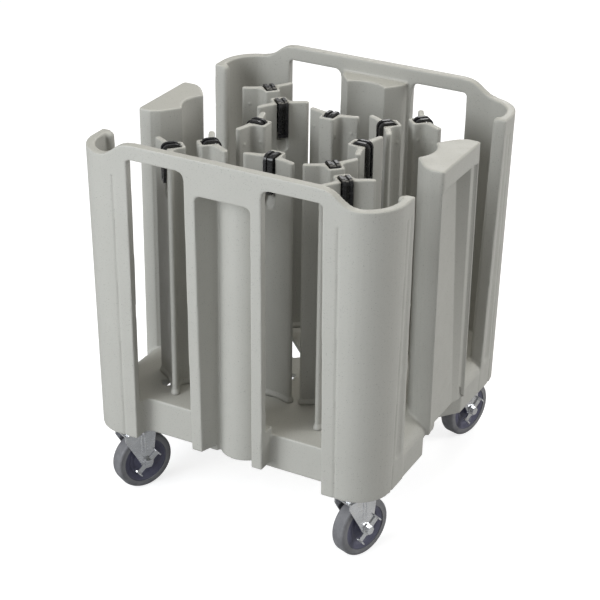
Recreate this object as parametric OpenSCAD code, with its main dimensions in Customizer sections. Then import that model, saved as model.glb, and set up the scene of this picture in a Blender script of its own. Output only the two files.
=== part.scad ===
// Plate cart: an open moulded caddy on four swivel casters, with twelve
// sliding divider towers that keep stacks of plates apart.
// Millimetres, Z up, floor at z = 0, origin under the middle of the caddy.
// The front wall faces -Y, the side gaps face -X and +X.

/* [Caddy body] */
// outer width across the side walls, at the rim
body_w = 680; // [664:1:700]
// outer depth across the front and rear walls, at the rim
body_d = 672; // [656:1:690]
// height of the front and rear rails above the floor
rail_z = 816; // [806:1:840]
// how far the corner and side rims lie below the rails
rail_rise = 32; // [26:1:38]
// outer corner radius at the rim
corner_r = 84; // [78:1:90]
// outward lean of the outer walls
draft = 1; // [0.6:0.1:1.4]
// wall thickness
wall_t = 18; // [16:0.5:20]
// top of the deck the towers stand on
deck_z = 238; // [232:1:244]
// deck thickness
deck_t = 12; // [10:0.5:14]
// underside of the body above the floor
base_z = 160; // [158:1:163]
// front and rear skirt plane, from the middle
skirt_y = 285; // [280:1:288]

/* [Windows and gaps] */
// half width of the middle section between the windows, at the top
window_in = 84; // [82:0.5:87]
// outer edge of each window from the middle, at the top
window_out = 209.5; // [204:0.5:214]
// top edge of the windows
window_top = 785; // [775:1:788]
// corner radius of the windows next to the middle section
window_r = 15; // [8:1:20]
// side gap, edge at the corner wall, at the rim
gap_out = 217; // [212:1:220]
// lean of that edge
gap_lean = 2.1; // [1.5:0.1:2.5]
// side gap, edge at the side post, at the rim
gap_in = 90; // [86:1:93]
// sill height of the side gaps at the outer face
sill_z = 203; // [203:1:206]

/* [Centre section and side posts] */
// half width of the outside recess, front and rear
recess_w = 60; // [56:0.5:62]
// half width of the outside recess in each side post
post_recess_w = 75; // [70:1:77]
// top of the outside recess
recess_top = 742; // [725:1:750]
// radius of the hollow nose the plates rest against
nose_r = 63.5; // [62:0.5:66]
// nose of the front and rear pilasters, from the middle
pilaster_y = 268; // [266:1:271]
// nose of the side posts, from the middle
post_x = 264; // [262:1:268]
// underside of the front stiles
stile_z = 175; // [170:1:182]

/* [Towers] */
// top of the towers above the floor
tower_z = 768; // [750:1:775]
// half width over the two wings
wing_w = 56; // [54:0.5:57]
// depth from wing tips to nose
tower_depth = 50; // [48:0.5:51]
// wing thickness
wing_t = 12; // [11:0.5:13]
// radius of the hollow front face
face_r = 137; // [128:1:150]
// half width of the nose
nose_w = 17; // [16.5:0.5:18]
// strap slot width, front face
slot_w = 24; // [23:0.5:25]
// strap slot length from the tower top
slot_h = 109; // [106:1:116]
// foot overhang round the tower
foot_out = 3.5; // [2.5:0.5:3.5]
// foot height
foot_h = 10; // [8:1:14]
// distance of the axial towers from the middle: left, rear, right, front
axial_at = [136, 134, 149, 164];
// distance of the inner diagonal towers: rear left, rear right, front right, front left
inner_at = [154, 148, 150, 173];
// distance of the outer diagonal towers, same order
outer_at = [289, 272, 273, 300];
// width of the slots in the deck
track_w = 24; // [24:0.5:26]

/* [Straps] */
// strap width
strap_w = 20; // [19:0.5:21]
// length of strap hanging down the front face
strap_drop = 66; // [60:1:72]

/* [Casters] */
// wheel diameter
wheel_d = 127; // [124:1:128]
// tread width
wheel_w = 32; // [28:1:34]
// caster position from the middle, in X
caster_x = 259; // [257:1:261]
// caster position from the middle, in Y
caster_y = 265; // [263:1:267]
// distance the wheel trails behind the swivel axis
trail = 16; // [12:1:24]
// direction each wheel trails: front left, front right, rear right, rear left
caster_turn = [62, 70, 74, 68];

/* [Hidden] */
$fn = 96;
eps = 0.01;
deep = 900;
half_x = body_w / 2;
half_y = body_d / 2;
rim_z = rail_z - rail_rise;
centre_x = half_x - corner_r;
centre_y = half_y - corner_r;
wall_low = base_z - 6;

// S bend between rail and rim
bend_start = 200;
bend_len = 82;
bend_r = (pow(bend_len / 2, 2) + pow(rail_rise / 2, 2)) / rail_rise;
bend_a = asin(bend_len / 2 / bend_r);

// base
base_lean = (rim_z - base_z) * tan(draft);
shell_t = 10;
sill_r = 35;
notch_w = 98;
notch_in = 46;
notch_z = 202;
notch_back = 288;
pad_x = 222;
pad_y = 216;
lip_t = 19;
lip_w = 30;

// pilaster and post plan
panel_w = 42;
panel_r = 54;
panel_y = 296;
panel_x = 306;
flank_w = 70;
flank_y = 299;
pil_nose_w = 44;
post_nose_w = 42;

// towers
tip_r = wing_t / 2;
face_c = sqrt(face_r * face_r - wing_w * wing_w);
neck_fillet = 14;
nose_corner = 6;
hole_w = 11.5;
hole_v = 43;
ramp_h = 22;
hole_depth = slot_h - ramp_h - 2;
tongue_l = 30;
tongue_w = track_w - 1.2;
keeper_w = 36;
keeper_t = 4;
tongue_v = 28;
axial_arm = [180, 90, 0, -90];
diag_arm = [135, 45, -45, -135];
track_diag = [29, 306];
track_axial = [48, 156];
boss_r = 4.5;
boss_drop = 36;

// straps
rib_w = 6;
rib_t = 6;
web_t = 3;
strap_top_r = 7;
strap_in_v = 36.7;

// casters
axle_z = wheel_d / 2;
axle_r = 5;
shoulder_r = 7;
brake_t = 2.5;
core_r = wheel_d / 2 - 14;
fork_gap = wheel_w / 2 + 4;
leg_t = 3;
plate_t = 4;
plate_l = 92;
plate_w = 66;
head_z = 140;
head_r = 34;
race_r = 29;
king_r = 6;
run = 0.05;
zinc = [0.78, 0.79, 0.82];
moulding = [0.71, 0.72, 0.71];
black = [0.06, 0.06, 0.06];
tread = [0.42, 0.42, 0.45];
core_colour = [0.33, 0.33, 0.42];

// Helpers

// copies to both sides of the YZ plane
module both_x() {
  children();
  mirror([1, 0, 0]) children();
}

// copies to both sides of the XZ plane
module both_y() {
  children();
  mirror([0, 1, 0]) children();
}

// draws an XZ outline and gives it thickness from y0 to y1
module along_y(y0, y1) {
  translate([0, y1, 0]) rotate([90, 0, 0]) linear_extrude(y1 - y0) children();
}

// draws a YZ outline and gives it thickness from x0 to x1
module along_x(x0, x1) {
  translate([x0, 0, 0]) rotate([90, 0, 90]) linear_extrude(x1 - x0) children();
}

// tilts the front wall outward about its outer rim line
module lean_front() {
  translate([0, -half_y, rim_z]) rotate([draft, 0, 0]) translate([0, half_y, -rim_z]) children();
}

// tilts the right side wall outward about its outer rim line
module lean_right() {
  translate([half_x, 0, rim_z]) rotate([0, draft, 0]) translate([-half_x, 0, -rim_z]) children();
}

// wall profile in radius and height, leaning outward, taller than the rail
module wall_profile() {
  translate([corner_r, rim_z]) rotate(-draft) translate([-wall_t, wall_low - rim_z])
    square([wall_t, rail_z + 20 - wall_low]);
}

// Caddy body

// drafted block of the base, solid, just inside the outer walls
module base_block() {
  inset = 1;
  top_r = corner_r - (rim_z - deck_z) * tan(draft) - inset;
  low_r = corner_r - base_lean - inset;
  front_in = wall_t / 2;
  both_x() both_y() translate([centre_x, centre_y - front_in, base_z])
    cylinder(r1 = low_r, r2 = top_r, h = deck_z - base_z);
  along_y(-centre_y + front_in, centre_y - front_in) polygon([
    [-centre_x - low_r, base_z], [centre_x + low_r, base_z],
    [centre_x + top_r, deck_z], [-centre_x - top_r, deck_z]]);
  along_x(-centre_x, centre_x) polygon([
    [-centre_y - low_r + front_in, base_z], [centre_y + low_r - front_in, base_z],
    [centre_y + top_r - front_in, deck_z], [-centre_y - top_r + front_in, deck_z]]);
}

// hollow under the deck, with a solid pad kept over each caster
module base_hollow() {
  w = notch_back - shell_t - 4;
  d = panel_y - 2 * shell_t - 12;
  difference() {
    translate([-w, -d, base_z - 10]) cube([2 * w, 2 * d, deck_z - deck_t - base_z + 10]);
    both_x() both_y() translate([pad_x, pad_y, base_z - 20]) cube([deep, deep, deck_z]);
  }
}

// outline of one window, front wall coordinates, open at the bottom
module window_outline() {
  in_low = window_in - 3;
  out_low = window_out + 3.5;
  low = base_z - 30;
  small_r = 7;
  difference() {
    polygon([[window_in, window_top], [window_out, window_top], [out_low, low], [in_low, low]]);
    translate([window_in - 1, window_top - window_r]) difference() {
      square([window_r + 1, window_r + 1]);
      translate([window_r + 1, 0]) circle(window_r);
    }
    translate([window_out - small_r, window_top - small_r]) difference() {
      square([small_r + 1, small_r + 1]);
      circle(small_r);
    }
  }
}

// everything above the rails, their S bends and the lower rims
module above_rim() {
  along_y(-deep, deep) difference() {
    translate([-deep, rim_z]) square([2 * deep, 200]);
    translate([-bend_start, rim_z - 10]) square([2 * bend_start, rail_rise + 10]);
    both_x() {
      intersection() {
        translate([bend_start, rail_z - bend_r]) circle(bend_r);
        translate([bend_start - 1, rim_z - 10]) square([bend_len / 2 + 1, rail_rise + 20]);
      }
      difference() {
        translate([bend_start + bend_len / 2 - 0.5, rim_z - 10])
          square([bend_len / 2 + 0.5, rail_rise / 2 + 10]);
        translate([bend_start + bend_len, rim_z + bend_r]) circle(bend_r);
      }
    }
  }
}

// front wall between the corners, before the windows are cut
module front_wall() {
  translate([-centre_x, -centre_y, 0]) rotate([90, 0, 90]) linear_extrude(2 * centre_x)
    mirror([1, 0]) wall_profile();
}

// round corner of the ring wall and its return along the side
module corner_wall() {
  translate([centre_x, -centre_y, 0]) rotate([0, 0, -90]) rotate_extrude(angle = 90) wall_profile();
  difference() {
    union() {
      translate([centre_x, -centre_y, 0]) rotate([90, 0, 180]) mirror([1, 0, 0])
        linear_extrude(centre_y - gap_out + 40) wall_profile();
      lean_right() translate([half_x - lip_w, -gap_out, rim_z])
        rotate([gap_lean, 0, 0]) translate([0, -lip_t, wall_low - rim_z])
          lip_bar();
    }
    lean_right() translate([0, -gap_out, rim_z]) rotate([gap_lean, 0, 0])
      translate([half_x - 60, 0, -deep]) cube([100, 100, deep + 50]);
  }
}

// thickened edge of the corner wall beside the side gap
module lip_bar() {
  r = lip_t / 2;
  h = rim_z - wall_low - r;
  translate([r, r, 0]) cylinder(r = r, h = h);
  translate([r, r, h]) sphere(r);
  translate([r, 0, 0]) cube([lip_w - r - 2, lip_t, h]);
  translate([r, r, h]) rotate([0, 90, 0]) cylinder(r = r, h = lip_w - r - 2);
}

// plan of the inward pilaster, drawn for the front wall
module pilaster_plan() {
  difference() {
    polygon([
      [-flank_w - 6, -half_y + 14], [flank_w + 6, -half_y + 14],
      [flank_w + 4, -half_y + 28], [flank_w, -flank_y],
      [pil_nose_w, -pilaster_y], [-pil_nose_w, -pilaster_y],
      [-flank_w, -flank_y], [-flank_w - 4, -half_y + 28]]);
    translate([0, -pilaster_y - nose_sag(pil_nose_w) + nose_r]) circle(nose_r);
  }
}

function nose_sag(w) = nose_r - sqrt(nose_r * nose_r - w * w);

// plan of the outside recess: tapering sides and a bulged back panel
module recess_plan(outer, back, w) {
  sag = panel_r - sqrt(panel_r * panel_r - panel_w * panel_w);
  difference() {
    polygon([[-w, -outer - 30], [w, -outer - 30], [w, -outer + 2],
      [panel_w, -back + sag], [-panel_w, -back + sag], [-w, -outer + 2]]);
    translate([0, -back + panel_r]) circle(panel_r);
  }
}

// outside recess of half width w, cut to its top with round upper corners
module recess_cut(outer, back, w) {
  r = 12;
  h = recess_top - base_z + 60;
  intersection() {
    translate([0, 0, recess_top - h]) linear_extrude(h) recess_plan(outer, back, w);
    along_y(-outer - 40, -outer + 120) {
      translate([-w - 3, recess_top - h]) square([2 * w + 6, h - r]);
      translate([-w + r, recess_top - h]) square([2 * w - 2 * r, h]);
      translate([-w + r, recess_top - r]) circle(r);
      translate([w - r, recess_top - r]) circle(r);
    }
  }
}

// side post plan behind its outer face, nose towards the middle
module post_plan() {
  inner = half_x - 20;
  difference() {
    polygon([
      [-gap_in + 3, -inner], [gap_in - 3, -inner],
      [gap_in - 3, -305], [79, -293], [64, -280],
      [post_nose_w, -post_x], [-post_nose_w, -post_x],
      [-64, -280], [-79, -293], [-gap_in + 3, -305]]);
    translate([0, -post_x - nose_sag(post_nose_w) + nose_r]) circle(nose_r);
  }
}

// one side post, built facing -Y and turned into place by the caller
module side_post() {
  translate([0, 0, deck_z - 20]) linear_extrude(rim_z - deck_z + 20) post_plan();
  translate([0, 0, notch_z]) linear_extrude(rim_z - notch_z) post_face();
}

// plan of the upright outer face of a side post, round at its two edges
module post_face() {
  e = 7;
  translate([-gap_in, -half_x + e]) square([2 * gap_in, 30 - e]);
  translate([-gap_in + e, -half_x]) square([2 * gap_in - 2 * e, 30]);
  both_x() translate([gap_in - e, -half_x + e]) circle(e);
}

// fillet where the sill of a side gap meets the side post
module gap_fillets() {
  r = deck_z - sill_z - 1;
  low = sill_z + 5;
  along_x(notch_back + 6, half_x - base_lean - 3) difference() {
    translate([-gap_in - r, low]) square([r + 4, sill_z + r - low]);
    translate([-gap_in - r, sill_z + r]) circle(r);
  }
}

// rounds the foot of each stile of a side post, so that it runs into the sill
module stile_foot() {
  r = deck_z - sill_z - 1;
  foot_r = r + 13;
  low = notch_z - 2;
  along_x(half_x - 15, half_x + 5) difference() {
    translate([-gap_in - 6, low]) square([31, sill_z + r - low]);
    translate([-gap_in - r, sill_z + r]) circle(foot_r);
  }
}

// rounds the deck edge down to the sill inside each side gap
module sill_round() {
  x0 = half_x - (rim_z - sill_z) * tan(draft) - sill_r;
  along_y(-gap_out + 10, -gap_in + 10) difference() {
    translate([x0, deck_z - sill_r]) square([sill_r + 20, sill_r + 10]);
    translate([x0, deck_z - sill_r]) circle(sill_r);
  }
}

// space cut out of the base below each side post
module side_notch() {
  outer = half_x - base_lean;
  translate([0, 0, base_z - 20]) linear_extrude(notch_z - base_z + 20) difference() {
    polygon([[notch_back, -notch_in], [outer, -notch_w], [outer + 20, -notch_w],
      [outer + 20, notch_w], [outer, notch_w], [notch_back, notch_in]]);
    translate([panel_x - panel_r, 0]) circle(panel_r);
  }
}

// open alcove below each window, and below the stile beside it
module alcove() {
  r = 14;
  in_x = window_in - 3.3;
  out_x = window_out + 4;
  translate([0, 0, stile_z]) linear_extrude(deck_z - stile_z + eps) difference() {
    alcove_plan(in_x, out_x, r);
    translate([in_x - eps, -skirt_y - r]) difference() {
      square([r, r + eps]);
      translate([r, 0]) circle(r);
    }
  }
  translate([0, 0, base_z - 20]) linear_extrude(stile_z - base_z + 20)
    alcove_plan(panel_w + 1, out_x, r);
}

// plan of the alcove from in_x to out_x, round where it meets the corner wall
module alcove_plan(in_x, out_x, r) {
  difference() {
    translate([in_x, -half_y - 20]) square([out_x - in_x, half_y + 20 - skirt_y]);
    translate([out_x - r + eps, -skirt_y - r]) difference() {
      square([r, r + eps]);
      circle(r);
    }
  }
}

// narrow vertical grooves on a corner post
module corner_grooves() {
  w = 6;
  cut = 2.6;
  low = base_z - 20;
  h = rim_z - 36 - low;
  lean_front() translate([half_x - 98, -half_y + cut - w / 2, low]) cylinder(d = w, h = h);
  lean_right() translate([half_x - cut + w / 2, -half_y + 90, low]) cylinder(d = w, h = h);
}

// tapering trough beside the bead at the edge of a side gap
module lip_trough() {
  top_r = 10;
  low_r = 24;
  top_cut = 1.5;
  low_cut = 4.5;
  top_at = 14.5;
  low_at = 27;
  down = 34;
  h = rim_z - deck_z - down + 2;
  out_a = atan((low_r - low_cut - top_r + top_cut) / h);
  side_a = gap_lean - atan((low_at - top_at) / h);
  lean_right() translate([half_x + top_r - top_cut, -gap_out - top_at + down * tan(gap_lean), rim_z - down])
    rotate([side_a, -out_a, 0]) mirror([0, 0, 1]) rotate_extrude() {
      polygon([[0, 0], [top_r, 0], [low_r, h], [0, h]]);
      translate([0, h]) intersection() {
        circle(low_r);
        square(low_r);
      }
    }
}

// slots in the deck that the towers slide along
module deck_tracks() {
  translate([0, 0, deck_z - deck_t - 1]) linear_extrude(deck_t + 2) {
    for (a = diag_arm) rotate(a)
      translate([track_diag[0], -track_w / 2]) square([track_diag[1] - track_diag[0], track_w]);
    for (a = axial_arm) rotate(a)
      translate([track_axial[0], -track_w / 2]) square([track_axial[1] - track_axial[0], track_w]);
  }
}

// stiles, pilaster and wall of the front, with the windows open
module front_side() {
  difference() {
    union() {
      front_wall();
      translate([0, 0, stile_z]) linear_extrude(rim_z - stile_z) pilaster_plan();
      lean_front() along_y(-half_y + 4, -half_y + 44)
        translate([-window_in + 1, stile_z]) square([2 * window_in - 2, 80]);
    }
    both_x() lean_front() along_y(-half_y - 20, -half_y + 46) window_outline();
    translate([-window_in, -half_y - 20, base_z - 20])
      cube([2 * window_in, half_y + 20 - skirt_y, stile_z - base_z + 20]);
  }
}

module caddy_body() {
  color(moulding) difference() {
    union() {
      difference() {
        base_block();
        both_x() both_y() sill_round();
        both_x() side_notch();
        both_x() both_y() alcove();
      }
      both_y() front_side();
      both_x() both_y() corner_wall();
      both_x() rotate([0, 0, 90]) side_post();
      both_x() both_y() gap_fillets();
    }
    above_rim();
    both_y() recess_cut(half_y, panel_y, recess_w);
    both_x() rotate([0, 0, 90]) recess_cut(half_x, panel_x, post_recess_w);
    both_x() both_y() corner_grooves();
    both_x() both_y() lip_trough();
    both_x() both_y() stile_foot();
    translate([-deep, -deep, base_z - 40]) cube([2 * deep, 2 * deep, 40]);
    base_hollow();
    deck_tracks();
    both_x() both_y() bolt_pattern() translate([0, 0, base_z - 1]) cylinder(d = 7, h = 26);
  }
}

// Towers

// plan of a tower, wings along X, nose towards +Y, grown by g all round
module tower_plan(g) {
  front_c = -face_c;
  mid_r = face_r + tip_r;
  tip_u = wing_w - tip_r;
  tip_v = front_c + sqrt(mid_r * mid_r - tip_u * tip_u);
  difference() {
    intersection() {
      translate([0, front_c]) circle(face_r + wing_t + g);
      polygon([[-tip_u * 1.02, 0], [-tip_u, tip_v], [0, -tip_v - 40], [tip_u, tip_v],
        [tip_u * 1.02, 60], [-tip_u * 1.02, 60]]);
      translate([-tip_u, -20]) square([2 * tip_u, 80]);
    }
    translate([0, front_c]) circle(face_r - g);
  }
  both_x() translate([tip_u, tip_v]) circle(tip_r + g);
  tower_neck(g);
}

// neck and nose of a tower plan, with its fillets to the wings
module tower_neck(g) {
  front_c = -face_c;
  w = nose_w + g;
  r = neck_fillet - g;
  back_r = face_r + wing_t + g;
  fillet_v = front_c + sqrt(pow(back_r + r, 2) - pow(w + r, 2));
  top = tower_depth + g;
  c = nose_corner + g;
  translate([-w, wing_t + 4]) square([2 * w, top - c - wing_t - 4]);
  translate([-w + c, wing_t + 4]) square([2 * w - 2 * c, top - wing_t - 4]);
  both_x() translate([w - c, top - c]) circle(c);
  both_x() difference() {
    polygon([
      [w - 1, wing_t + 4], [w + r, wing_t + 4], [w + r, fillet_v - r],
      [w + r * 0.6, fillet_v], [w - 1, fillet_v]]);
    translate([w + r, fillet_v]) circle(r);
  }
}

// hollow inside the nose, seen from above
module tower_hole() {
  translate([-hole_w, wing_t + 9]) square([2 * hole_w, hole_v - wing_t - 9]);
}

// one tower at the origin: wings along X, nose towards +Y
module tower_shape() {
  face_v = face_r - face_c;
  difference() {
    union() {
      translate([0, 0, deck_z]) linear_extrude(tower_z - deck_z) tower_plan(0);
      translate([0, 0, deck_z]) linear_extrude(foot_h * 0.6) tower_plan(foot_out);
      translate([0, 0, deck_z]) linear_extrude(foot_h) tower_plan(foot_out / 2);
      translate([0, 0, tower_z - boss_drop]) both_x() {
        translate([wing_w - 14, face_v + 3, 0]) sphere(boss_r);
        translate([nose_w - 2.5, tower_depth - 10, 0]) sphere(boss_r);
      }
      translate([-tongue_w / 2, tongue_v - tongue_l / 2, deck_z - deck_t - 1])
        cube([tongue_w, tongue_l, deck_t + 2]);
      translate([-keeper_w / 2, tongue_v - tongue_l / 2, deck_z - deck_t - 1 - keeper_t])
        cube([keeper_w, tongue_l, keeper_t]);
    }
    translate([0, 0, tower_z - hole_depth]) linear_extrude(hole_depth + 1) tower_hole();
    strap_slot();
  }
}

// slot for the strap in the front face, running out on a ramp at its lower end
module strap_slot() {
  face_v = face_r - face_c;
  low = tower_z - slot_h;
  back = wing_t + 10;
  intersection() {
    along_y(-40, back + 5) {
      translate([-slot_w / 2, low + slot_w / 2]) square([slot_w, slot_h]);
      translate([0, low + slot_w / 2]) circle(slot_w / 2);
    }
    along_x(-slot_w, slot_w) polygon([
      [-30, low - 5], [face_v + 1.5, low - 5], [face_v + 1.5, low], [back, low + ramp_h],
      [back, tower_z + 20], [-30, tower_z + 20]]);
  }
}

// turns a child built like tower_shape to its place in the cart
module axial_place(i) {
  rotate(axial_arm[i]) translate([axial_at[i], 0, 0]) rotate(90) children();
}

module inner_place(i) {
  rotate(diag_arm[i]) translate([inner_at[i], 0, 0]) rotate(-90) children();
}

module outer_place(i) {
  rotate(diag_arm[i]) translate([outer_at[i], 0, 0]) rotate(90) children();
}

module tower_place(n) {
  if (n == 1) outer_place(0) children();
  if (n == 2) inner_place(0) children();
  if (n == 3) axial_place(0) children();
  if (n == 4) axial_place(1) children();
  if (n == 5) inner_place(1) children();
  if (n == 6) axial_place(2) children();
  if (n == 7) outer_place(1) children();
  if (n == 8) axial_place(3) children();
  if (n == 9) inner_place(2) children();
  if (n == 10) outer_place(2) children();
  if (n == 11) outer_place(3) children();
  if (n == 12) inner_place(3) children();
}

module tower(n) {
  color(moulding) tower_place(n) tower_shape();
}

// Straps

// cross section of the strap: two ribs joined by a web, outer side up
module strap_section() {
  translate([-strap_w / 2, 0]) square([strap_w, web_t]);
  both_x() translate([strap_w / 2 - rib_w, 0]) square([rib_w, rib_t]);
}

// strap along its route: up inside the nose, over the top, down the slot
module strap_shape() {
  face_v = face_r - face_c;
  out_v = face_v - 2;
  top_z = tower_z - 8;
  run_len = strap_in_v - out_v - 2 * strap_top_r;
  // inner leg, inside the nose
  translate([0, strap_in_v, top_z - strap_drop]) linear_extrude(strap_drop) strap_section();
  // bend from the inner leg to the crossing
  translate([0, strap_in_v - strap_top_r, top_z]) rotate([90, 0, 90]) rotate_extrude(angle = 90)
    translate([strap_top_r, 0]) rotate(-90) strap_section();
  // crossing
  translate([0, strap_in_v - strap_top_r, top_z + strap_top_r]) rotate([90, 0, 0])
    linear_extrude(run_len) strap_section();
  // bend to the front
  translate([0, out_v + strap_top_r, top_z]) rotate([90, 0, 90]) rotate(90)
    rotate_extrude(angle = 90) translate([strap_top_r, 0]) rotate(-90) strap_section();
  // front leg
  translate([0, out_v, top_z - strap_drop]) linear_extrude(strap_drop) rotate(180)
    strap_section();
  // end bar of the front leg
  translate([-strap_w / 2, out_v - rib_t, top_z - strap_drop]) cube([strap_w, rib_t, 6]);
  // finger bead on the front bend
  translate([0, out_v - web_t, top_z - 2]) sphere(3);
}

module strap(n) {
  color(black) tower_place(n) strap_shape();
}

// Casters

caster_spots = [
  [-caster_x, -caster_y], [caster_x, -caster_y], [caster_x, caster_y], [-caster_x, caster_y]];

module caster_place(i) {
  translate([caster_spots[i][0], caster_spots[i][1], 0]) rotate(caster_turn[i]) children();
}

// four bolt positions of the caster plate in the front right corner
module bolt_pattern() {
  for (sx = [-1, 1]) for (sy = [-1, 1])
    translate([caster_x + sx * (plate_l / 2 - 11), caster_y + sy * (plate_w / 2 - 11), 0]) children();
}

module caster_bolts() {
  color(zinc) both_x() both_y() bolt_pattern() {
    translate([0, 0, base_z - plate_t - 4]) cylinder(d = 13, h = 4, $fn = 6);
    translate([0, 0, base_z - plate_t - 1]) cylinder(d = 6.9, h = plate_t + 20);
  }
}

module plate(i) {
  color(zinc) translate([caster_spots[i][0], caster_spots[i][1], 0]) difference() {
    union() {
      translate([-plate_l / 2, -plate_w / 2, base_z - plate_t]) cube([plate_l, plate_w, plate_t]);
      translate([0, 0, base_z - plate_t - 5]) cylinder(r = race_r + 3, h = 5);
    }
    translate([0, 0, base_z - 20]) cylinder(r = king_r, h = 40);
    for (sx = [-1, 1]) for (sy = [-1, 1])
      translate([sx * (plate_l / 2 - 11), sy * (plate_w / 2 - 11), base_z - 20]) cylinder(d = 7, h = 40);
  }
}

// side view of a fork leg: wide at the head, narrow at the axle
module leg_outline() {
  difference() {
    union() {
      polygon([[-head_r, head_z], [head_r + 6, head_z], [head_r + 4, head_z - 12],
        [trail + 15, axle_z], [trail - 15, axle_z], [-head_r, head_z - 14]]);
      translate([trail, axle_z]) circle(15);
    }
    translate([trail, axle_z]) circle(axle_r + run);
  }
}

module fork(i) {
  race_top = base_z - plate_t - 5 - 0.3;
  color(zinc) caster_place(i) difference() {
    union() {
      for (s = [-1, 1]) translate([0, s * (fork_gap + leg_t / 2), 0])
        along_y(-leg_t / 2, leg_t / 2) leg_outline();
      translate([-head_r, -fork_gap - leg_t, head_z - leg_t])
        cube([2 * head_r + 6, 2 * fork_gap + 2 * leg_t, leg_t]);
      translate([0, 0, head_z - eps]) cylinder(r = race_r, h = race_top - head_z);
      for (s = [-1, 1]) leg_ribs(s);
    }
    translate([0, 0, head_z - 10]) cylinder(r = king_r + run, h = 40);
  }
}

// two pressed ribs with a channel between them, down the middle of a fork leg
module leg_ribs(s) {
  for (dx = [-4, 4]) translate([trail / 2 + dx, s * (fork_gap + leg_t), axle_z + 24])
    cylinder(r = 1.8, h = head_z - axle_z - 30);
}

module kingpin(i) {
  color(zinc) translate([caster_spots[i][0], caster_spots[i][1], 0]) {
    translate([0, 0, head_z - leg_t - 5.3]) cylinder(r = 10, h = 5);
    translate([0, 0, head_z - leg_t - 1]) cylinder(r = king_r, h = base_z - head_z + leg_t + 1);
  }
}

module axle(i) {
  out = fork_gap + leg_t;
  color(zinc) caster_place(i) translate([trail, 0, axle_z]) {
    rotate([90, 0, 0]) translate([0, 0, -out - 5]) cylinder(r = axle_r, h = 2 * out + 6);
    rotate([90, 0, 0]) translate([0, 0, out]) cylinder(r = shoulder_r, h = brake_t + 0.7);
    rotate([90, 0, 0]) translate([0, 0, out + brake_t + 0.7]) cylinder(d = 19, h = 6, $fn = 6);
    rotate([90, 0, 0]) translate([0, 0, -out - 6]) cylinder(d = 19, h = 6, $fn = 6);
  }
}

// hub and web of a wheel
module wheel(i) {
  hub_h = 2 * fork_gap - 1;
  color(core_colour) caster_place(i) translate([trail, 0, axle_z]) rotate([90, 0, 0])
    rotate_extrude() polygon([
      [axle_r + run, -hub_h / 2], [13, -hub_h / 2], [14, -11], [24, -8], [30, -9.5], [34, -9.5],
      [38, -12], [core_r - 3, -14], [core_r, -14],
      [core_r, 14], [core_r - 3, 14], [38, 12], [34, 9.5], [30, 9.5], [24, 8], [14, 11],
      [13, hub_h / 2], [axle_r + run, hub_h / 2]]);
}

module tyre(i) {
  r = wheel_d / 2;
  e = wheel_w / 2;
  color(tread) caster_place(i) translate([trail, 0, axle_z]) rotate([90, 0, 0]) rotate_extrude() {
    difference() {
      translate([core_r, -e]) square([r - core_r, wheel_w]);
      both_edges(r, e);
    }
  }
}

// rounds the two outer edges of the tread
module both_edges(r, e) {
  c = 6;
  for (s = [-1, 1]) translate([r - c, s * (e - c)]) difference() {
    translate([0, s > 0 ? 0 : -c - 1]) square([c + 1, c + 1]);
    circle(c);
  }
}

// side brake: a rocking plate on the outer leg with two foot tabs
module brake(i) {
  y = -(fork_gap + leg_t + 0.4) - brake_t;
  color(zinc) caster_place(i) difference() {
    union() {
      translate([0, y, 0]) along_y(0, brake_t) brake_outline();
      brake_tab(y, 40);
      brake_tab(y, 220);
    }
    translate([trail, 0, axle_z]) rotate([90, 0, 0]) cylinder(r = shoulder_r + run, h = 100);
  }
}

module brake_outline() {
  arm_w = 12;
  translate([trail, axle_z]) {
    circle(13);
    for (a = [40, 220]) rotate(a) translate([0, -arm_w / 2]) square([30, arm_w]);
  }
}

// half-round foot tab bent outward at the end of a brake arm
module brake_tab(y, a) {
  reach = 28;
  tab_r = 12;
  translate([trail, y, axle_z]) rotate([0, -a, 0]) translate([reach, 2, 0]) difference() {
    rotate([0, 90, 0]) cylinder(r = tab_r, h = 3);
    translate([-1, 0, -tab_r - 1]) cube([5, tab_r + 1, 2 * tab_r + 2]);
  }
}

// Assembly

caddy_body();
caster_bolts();
for (n = [1:12]) tower(n);
for (n = [1:12]) strap(n);
for (i = [0:3]) plate(i);
for (i = [0:3]) fork(i);
for (i = [0:3]) kingpin(i);
for (i = [0:3]) axle(i);
for (i = [0:3]) wheel(i);
for (i = [0:3]) tyre(i);
for (i = [0:3]) brake(i);
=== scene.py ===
import math

import bpy
from mathutils import Matrix, Vector

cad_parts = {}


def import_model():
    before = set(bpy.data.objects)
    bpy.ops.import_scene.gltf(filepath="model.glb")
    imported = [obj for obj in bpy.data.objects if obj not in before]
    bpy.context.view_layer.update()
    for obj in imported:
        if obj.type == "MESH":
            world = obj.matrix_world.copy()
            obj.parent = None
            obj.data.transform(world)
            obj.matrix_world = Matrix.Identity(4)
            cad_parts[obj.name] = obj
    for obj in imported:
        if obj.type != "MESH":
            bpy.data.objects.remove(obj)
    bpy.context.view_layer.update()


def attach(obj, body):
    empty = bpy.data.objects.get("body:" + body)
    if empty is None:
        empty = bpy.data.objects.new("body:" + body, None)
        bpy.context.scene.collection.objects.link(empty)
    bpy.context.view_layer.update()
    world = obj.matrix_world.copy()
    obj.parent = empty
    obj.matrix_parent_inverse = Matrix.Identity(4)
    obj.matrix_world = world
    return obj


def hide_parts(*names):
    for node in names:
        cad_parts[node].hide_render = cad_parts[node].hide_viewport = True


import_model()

TOWERS = range(1, 13)
CASTERS = range(1, 5)
ZINC_PARTS = ("plate", "fork", "kingpin", "axle", "brake")


# Camera, at the viewing angle of the photograph (lengths in metres)

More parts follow.
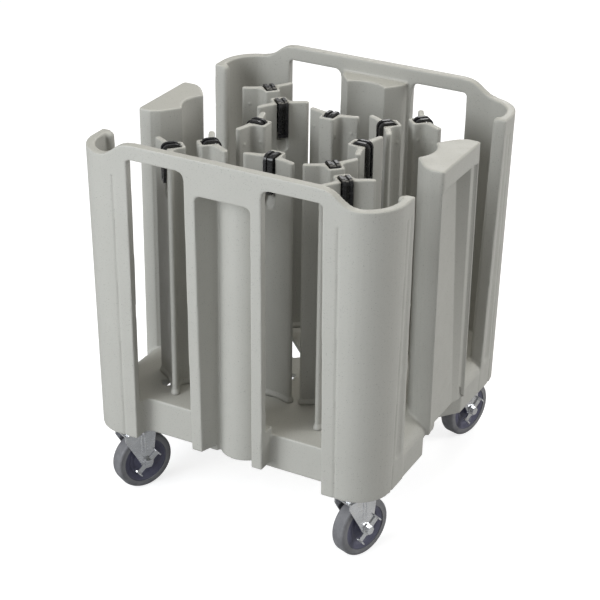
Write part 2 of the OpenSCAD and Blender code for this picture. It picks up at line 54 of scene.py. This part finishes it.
AZIMUTH = math.radians(27.7)
ELEVATION = math.radians(27.15)
ROLL = math.radians(0.79)
DISTANCE = 3.65381
LENS_MM = 104.65
SENSOR_MM = 36.0
CLIP_NEAR = 0.05
CLIP_FAR = 60.0
AIM = Vector((0.0, 0.0, 0.4))
SLIDE_RIGHT = -0.00803
SLIDE_UP = -0.00878


def camera():
    back = Vector((
        math.sin(AZIMUTH) * math.cos(ELEVATION),
        -math.cos(AZIMUTH) * math.cos(ELEVATION),
        math.sin(ELEVATION)))
    level = Vector((math.cos(AZIMUTH), math.sin(AZIMUTH), 0.0))
    upright = back.cross(level)
    right = math.cos(ROLL) * level + math.sin(ROLL) * upright
    up = -math.sin(ROLL) * level + math.cos(ROLL) * upright
    data = bpy.data.cameras.new("camera")
    data.lens = LENS_MM
    data.sensor_width = SENSOR_MM
    data.clip_start = CLIP_NEAR
    data.clip_end = CLIP_FAR
    data.dof.use_dof = False
    cam = bpy.data.objects.new("camera", data)
    bpy.context.scene.collection.objects.link(cam)
    place = AIM + back * DISTANCE + right * SLIDE_RIGHT + up * SLIDE_UP
    turn = Matrix((right, up, back)).transposed().to_4x4()
    cam.matrix_world = Matrix.Translation(place) @ turn
    bpy.context.scene.camera = cam


# Node helpers for the materials

# Sockets of the Mix node in colour mode, whose names are not unique
MIX_FACTOR = 0
MIX_FIRST = 6
MIX_SECOND = 7
MIX_RESULT = 2


def link(tree, source, output, target, socket):
    tree.links.new(source.outputs[output], target.inputs[socket])


def new_material(name):
    mat = bpy.data.materials.new(name)
    mat.use_nodes = True
    tree = mat.node_tree
    shader = next(n for n in tree.nodes if n.type == "BSDF_PRINCIPLED")
    return mat, tree, shader


def coords(tree):
    return tree.nodes.new("ShaderNodeTexCoord")


def noise(tree, where, scale, detail=2.0, rough=0.5, stretch=None):
    """Noise texture in object coordinates, if asked with its scale stretched per axis."""
    tex = tree.nodes.new("ShaderNodeTexNoise")
    tex.inputs["Scale"].default_value = scale
    tex.inputs["Detail"].default_value = detail
    tex.inputs["Roughness"].default_value = rough
    if stretch is None:
        link(tree, where, "Object", tex, "Vector")
    else:
        scaled = tree.nodes.new("ShaderNodeMapping")
        scaled.inputs["Scale"].default_value = stretch
        link(tree, where, "Object", scaled, "Vector")
        link(tree, scaled, "Vector", tex, "Vector")
    return tex


def remap(tree, source, output, low, high, to_low, to_high):
    """Maps low..high of a node's output onto to_low..to_high."""
    node = tree.nodes.new("ShaderNodeMapRange")
    node.inputs["From Min"].default_value = low
    node.inputs["From Max"].default_value = high
    node.inputs["To Min"].default_value = to_low
    node.inputs["To Max"].default_value = to_high
    link(tree, source, output, node, "Value")
    return node


def mix_colour(tree, mask, first, second):
    """Mixes the first colour (a tuple or a Mix node) towards the second, a tuple."""
    node = tree.nodes.new("ShaderNodeMix")
    node.data_type = "RGBA"
    node.clamp_factor = True
    link(tree, mask, "Result", node, MIX_FACTOR)
    if isinstance(first, tuple):
        node.inputs[MIX_FIRST].default_value = first + (1.0,)
    else:
        link(tree, first, MIX_RESULT, node, MIX_FIRST)
    node.inputs[MIX_SECOND].default_value = second + (1.0,)
    return node


def bump(tree, shader, height, strength, distance, below=None):
    """Adds a bump from a noise texture, on top of the bump below if there is one."""
    node = tree.nodes.new("ShaderNodeBump")
    node.inputs["Strength"].default_value = strength
    node.inputs["Distance"].default_value = distance
    link(tree, height, "Fac", node, "Height")
    if below is not None:
        link(tree, below, "Normal", node, "Normal")
    link(tree, node, "Normal", shader, "Normal")
    return node


def edge_mask(tree, low, high):
    geometry = tree.nodes.new("ShaderNodeNewGeometry")
    return remap(tree, geometry, "Pointiness", low, high, 0.0, 1.0)


# Materials (linear colours)

MOULDING_GROUND = (0.425, 0.422, 0.390)
MOULDING_MOTTLE = (0.395, 0.392, 0.360)
MOULDING_DARK_FLECK = (0.15, 0.15, 0.145)
MOULDING_PALE_FLECK = (0.55, 0.55, 0.53)
# Painted highlight: the paler colour given to the moulding's convex edges and beads
MOULDING_EDGE_HIGHLIGHT = (0.49, 0.487, 0.452)
STRAP_BLACK = (0.012, 0.012, 0.013)
STRAP_DUST = (0.045, 0.045, 0.047)
ZINC_BRIGHT = (0.80, 0.81, 0.83)
ZINC_CLOUD = (0.60, 0.61, 0.63)
ZINC_BLOOM = (0.72, 0.69, 0.60)
TREAD_GREY = (0.150, 0.150, 0.160)
TREAD_SCUFF = (0.23, 0.23, 0.24)
CORE_BLUE_GREY = (0.085, 0.085, 0.135)
CORE_SCUFF = (0.14, 0.14, 0.19)


def moulding_material():
    """Speckled grey moulded plastic: fine dark flecks, slight mottling, soft orange peel,
    and a painted highlight that makes the convex edges paler.
    """
    mat, tree, shader = new_material("speckled_moulding")
    where = coords(tree)
    mottle = remap(tree, noise(tree, where, 9.0, 3.0), "Fac", 0.35, 0.7, 0.0, 0.35)
    ground = mix_colour(tree, mottle, MOULDING_GROUND, MOULDING_MOTTLE)
    dark = remap(tree, noise(tree, where, 480.0, 1.0, 0.4), "Fac", 0.66, 0.76, 0.0, 0.55)
    flecked = mix_colour(tree, dark, ground, MOULDING_DARK_FLECK)
    pale = remap(tree, noise(tree, where, 610.0, 1.0, 0.4), "Fac", 0.66, 0.78, 0.0, 0.30)
    speckled = mix_colour(tree, pale, flecked, MOULDING_PALE_FLECK)
    # Convex edges of the moulding turn paler: a painted highlight on edges and beads (on the
    # rubber below, the same mask marks scuffed edges)
    edge_wear_and_highlight = edge_mask(tree, 0.53, 0.62)
    final = mix_colour(tree, edge_wear_and_highlight, speckled, MOULDING_EDGE_HIGHLIGHT)
    link(tree, final, MIX_RESULT, shader, "Base Color")
    gloss = remap(tree, noise(tree, where, 40.0, 4.0), "Fac", 0.3, 0.7, 0.38, 0.54)
    link(tree, gloss, "Result", shader, "Roughness")
    shader.inputs["Specular IOR Level"].default_value = 0.45
    wave = bump(tree, shader, noise(tree, where, 14.0, 2.0), 0.35, 0.0012)
    bump(tree, shader, noise(tree, where, 260.0, 3.0), 0.22, 0.0004, wave)
    return mat


def strap_material():
    """Glossy black plastic with a little dust."""
    mat, tree, shader = new_material("black_strap")
    where = coords(tree)
    dust = remap(tree, noise(tree, where, 120.0, 4.0), "Fac", 0.45, 0.8, 0.0, 0.5)
    colour = mix_colour(tree, dust, STRAP_BLACK, STRAP_DUST)
    link(tree, colour, MIX_RESULT, shader, "Base Color")
    gloss = remap(tree, noise(tree, where, 60.0, 3.0), "Fac", 0.3, 0.7, 0.18, 0.34)
    link(tree, gloss, "Result", shader, "Roughness")
    bump(tree, shader, noise(tree, where, 300.0, 2.0), 0.2, 0.0003)
    return mat


def rubber_material(name, base, scuffed, smoothest, roughest):
    """Rubber or wheel plastic with scuffs, paler on its edges."""
    mat, tree, shader = new_material(name)
    where = coords(tree)
    scuff = remap(tree, noise(tree, where, 45.0, 5.0, 0.65), "Fac", 0.42, 0.75, 0.0, 0.8)
    colour = mix_colour(tree, scuff, base, scuffed)
    edge_wear_and_highlight = edge_mask(tree, 0.52, 0.6)
    final = mix_colour(tree, edge_wear_and_highlight, colour, scuffed)
    link(tree, final, MIX_RESULT, shader, "Base Color")
    gloss = remap(tree, noise(tree, where, 80.0, 4.0), "Fac", 0.3, 0.7, smoothest, roughest)
    link(tree, gloss, "Result", shader, "Roughness")
    bump(tree, shader, noise(tree, where, 420.0, 3.0), 0.35, 0.0004)
    return mat


def zinc_material():
    """Bright zinc plate: rolled streaks, cloudy tone and a faint warm bloom."""
    mat, tree, shader = new_material("bright_zinc")
    shader.inputs["Metallic"].default_value = 1.0
    where = coords(tree)
    cloud = remap(tree, noise(tree, where, 30.0, 4.0), "Fac", 0.35, 0.7, 0.0, 0.7)
    tone = mix_colour(tree, cloud, ZINC_BRIGHT, ZINC_CLOUD)
    bloom = remap(tree, noise(tree, where, 70.0, 2.0), "Fac", 0.55, 0.8, 0.0, 0.35)
    final = mix_colour(tree, bloom, tone, ZINC_BLOOM)
    link(tree, final, MIX_RESULT, shader, "Base Color")
    streak = noise(tree, where, 60.0, 3.0, 0.5, (1.0, 1.0, 14.0))
    gloss = remap(tree, streak, "Fac", 0.3, 0.7, 0.16, 0.30)
    link(tree, gloss, "Result", shader, "Roughness")
    bump(tree, shader, streak, 0.12, 0.0002)
    return mat


def paint(names, mat):
    for name in names:
        obj = bpy.data.objects[name]
        obj.data.materials.clear()
        obj.data.materials.append(mat)


# Softened copies: moulded edges have no sharp corners (lengths in metres)

BODY_VOXEL = 0.0024
BODY_KEEP = 0.30
BODY_PASSES = 3
TOWER_VOXEL = 0.0018
TOWER_KEEP = 0.22
TOWER_PASSES = 2

# Outer face of a side post: x of its parts, and how far from the post's middle each one ends
PANEL_TOP_Z = 0.700
PANEL_TOP_X = 0.308
PANEL_RISE = 0.019
PANEL_DROP = 0.520
RIDGE_X = 0.331
BEAD_X = 0.340
PANEL_END = 0.050
RIDGE_START = 0.068
RIDGE_END = 0.0835
BEAD_START = 0.086
FACE_FOOT_Z = 0.204
FACE_TOP_Z = 0.740
FACE_INNER_X = 0.280
FACING_OUT = 0.15


def bake(obj):
    """Applies an object's modifiers."""
    baked = bpy.data.meshes.new_from_object(
        obj.evaluated_get(bpy.context.evaluated_depsgraph_get()))
    obj.modifiers.clear()
    obj.data = baked


def soften(node, name, voxel, passes, keep, carve=None):
    """Returns a copy of a node's mesh, carved if asked, with its edges rounded."""
    source = bpy.data.objects[node]
    obj = bpy.data.objects.new(name, source.data.copy())
    bpy.context.scene.collection.objects.link(obj)
    remesh = obj.modifiers.new("remesh", "REMESH")
    remesh.mode = "VOXEL"
    remesh.voxel_size = voxel
    if carve is not None:
        bake(obj)
        carve(obj.data)
    smooth = obj.modifiers.new("smooth", "SMOOTH")
    smooth.factor = 0.5
    smooth.iterations = passes
    thin = obj.modifiers.new("thin", "DECIMATE")
    thin.ratio = keep
    bake(obj)
    obj.data.name = name
    for face in obj.data.polygons:
        face.use_smooth = True
    return obj


def post_face_x(across, height):
    """How far out a side post's face lies, or None beyond its edge bead.

    The sunk panel comes out as it goes down; a slope leads from it to the ridge.
    """
    panel_x = PANEL_TOP_X + PANEL_RISE * (PANEL_TOP_Z - height) / PANEL_DROP
    stations = (
        (0.0, panel_x),
        (PANEL_END, panel_x),
        (RIDGE_START, RIDGE_X),
        (RIDGE_END, RIDGE_X),
        (BEAD_START, BEAD_X))
    for (start, start_x), (end, end_x) in zip(stations, stations[1:]):
        if across < end:
            return start_x + (end_x - start_x) * (across - start) / (end - start)
    return None


def carve_posts(mesh):
    """Gives the outer faces of the two side posts their panel, slope and ridge.

    The moves are gathered first, because each one makes the mesh's normals stale.
    """
    moves = []
    for vertex in mesh.vertices:
        x, y, z = vertex.co
        side = 1.0 if x > 0.0 else -1.0
        outward = vertex.normal.x * side
        if abs(x) < FACE_INNER_X or outward < FACING_OUT or not FACE_FOOT_Z < z < FACE_TOP_Z:
            continue
        face_x = post_face_x(abs(y), z)
        if face_x is not None:
            moves.append((vertex.index, side * face_x))
    for index, x in moves:
        mesh.vertices[index].co.x = x


def soft_body(mat):
    voxel = BODY_VOXEL
    obj = soften("caddy_body", "caddy_moulding", voxel, BODY_PASSES, BODY_KEEP, carve_posts)
    obj.data.materials.clear()
    obj.data.materials.append(mat)
    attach(obj, "caddy")
    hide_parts("caddy_body")


def soft_towers(mat):
    voxel = TOWER_VOXEL
    for n in TOWERS:
        obj = soften("tower_%d" % n, "divider_tower_%d" % n, voxel, TOWER_PASSES, TOWER_KEEP)
        obj.data.materials.clear()
        obj.data.materials.append(mat)
        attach(obj, "divider_%d" % n)
        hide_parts("tower_%d" % n)


# Studio

LAMP_AIM = Vector((0.0, 0.0, 0.4))
COOL = (0.94, 0.97, 1.0)
WARM = (1.0, 0.96, 0.86)
WHITE = (1.0, 1.0, 1.0)
FLOOR_HALF = 9.0
FLOOR_GREY = (0.50, 0.50, 0.50, 1.0)
FLOOR_GLOW = 0.75
SKY_LEVEL = 0.30
SKY_LEVEL_SEEN = 1.0


def area_lamp(name, place, size, power, colour=WHITE):
    data = bpy.data.lights.new(name, "AREA")
    data.shape = "DISK"
    data.size = size
    data.energy = power
    data.color = colour
    lamp = bpy.data.objects.new(name, data)
    bpy.context.scene.collection.objects.link(lamp)
    look = (LAMP_AIM - Vector(place)).to_track_quat("-Z", "Y")
    lamp.matrix_world = Matrix.Translation(Vector(place)) @ look.to_matrix().to_4x4()


def floor():
    """Pale floor that keeps the shadow and looks white to the camera."""
    mesh = bpy.data.meshes.new("floor")
    corners = [
        (-FLOOR_HALF, -FLOOR_HALF, 0),
        (FLOOR_HALF, -FLOOR_HALF, 0),
        (FLOOR_HALF, FLOOR_HALF, 0),
        (-FLOOR_HALF, FLOOR_HALF, 0)]
    mesh.from_pydata(corners, [], [(0, 1, 2, 3)])
    obj = bpy.data.objects.new("floor", mesh)
    bpy.context.scene.collection.objects.link(obj)
    mat, tree, shader = new_material("pale_floor")
    shader.inputs["Base Color"].default_value = FLOOR_GREY
    shader.inputs["Roughness"].default_value = 0.9
    path = tree.nodes.new("ShaderNodeLightPath")
    glow = remap(tree, path, "Is Camera Ray", 0.0, 1.0, 0.0, FLOOR_GLOW)
    shader.inputs["Emission Color"].default_value = WHITE + (1.0,)
    link(tree, glow, "Result", shader, "Emission Strength")
    mesh.materials.append(mat)


def world():
    """White background for the camera, a dimmer sky for the light."""
    sky = bpy.data.worlds.new("studio")
    sky.use_nodes = True
    bpy.context.scene.world = sky
    tree = sky.node_tree
    ground = next(n for n in tree.nodes if n.type == "BACKGROUND")
    path = tree.nodes.new("ShaderNodeLightPath")
    level = remap(tree, path, "Is Camera Ray", 0.0, 1.0, SKY_LEVEL, SKY_LEVEL_SEEN)
    link(tree, level, "Result", ground, "Strength")
    ground.inputs["Color"].default_value = WHITE + (1.0,)


def studio():
    bpy.context.scene.view_settings.view_transform = "Standard"
    area_lamp("key", (-1.7, -3.0, 2.4), 2.0, 82.0, COOL)
    area_lamp("front", (-0.9, -3.6, 1.0), 1.8, 45.0, COOL)
    area_lamp("top", (0.2, 0.3, 3.4), 2.0, 37.0, WARM)
    area_lamp("rim", (-0.8, 3.0, 2.2), 1.6, 16.0)
    area_lamp("side", (3.1, 1.5, 1.8), 2.0, 58.0)
    floor()
    world()


camera()
moulding = moulding_material()
soft_body(moulding)
soft_towers(moulding)
paint(["caddy_body"] + ["tower_%d" % n for n in TOWERS], moulding)
paint(["strap_%d" % n for n in TOWERS], strap_material())
zinc = zinc_material()
paint(["caster_bolts"], zinc)
paint([part + "_%d" % k for part in ZINC_PARTS for k in CASTERS], zinc)
tread = rubber_material("grey_tread", TREAD_GREY, TREAD_SCUFF, 0.42, 0.62)
paint(["tyre_%d" % k for k in CASTERS], tread)
core = rubber_material("wheel_core", CORE_BLUE_GREY, CORE_SCUFF, 0.34, 0.5)
paint(["wheel_%d" % k for k in CASTERS], core)
studio()
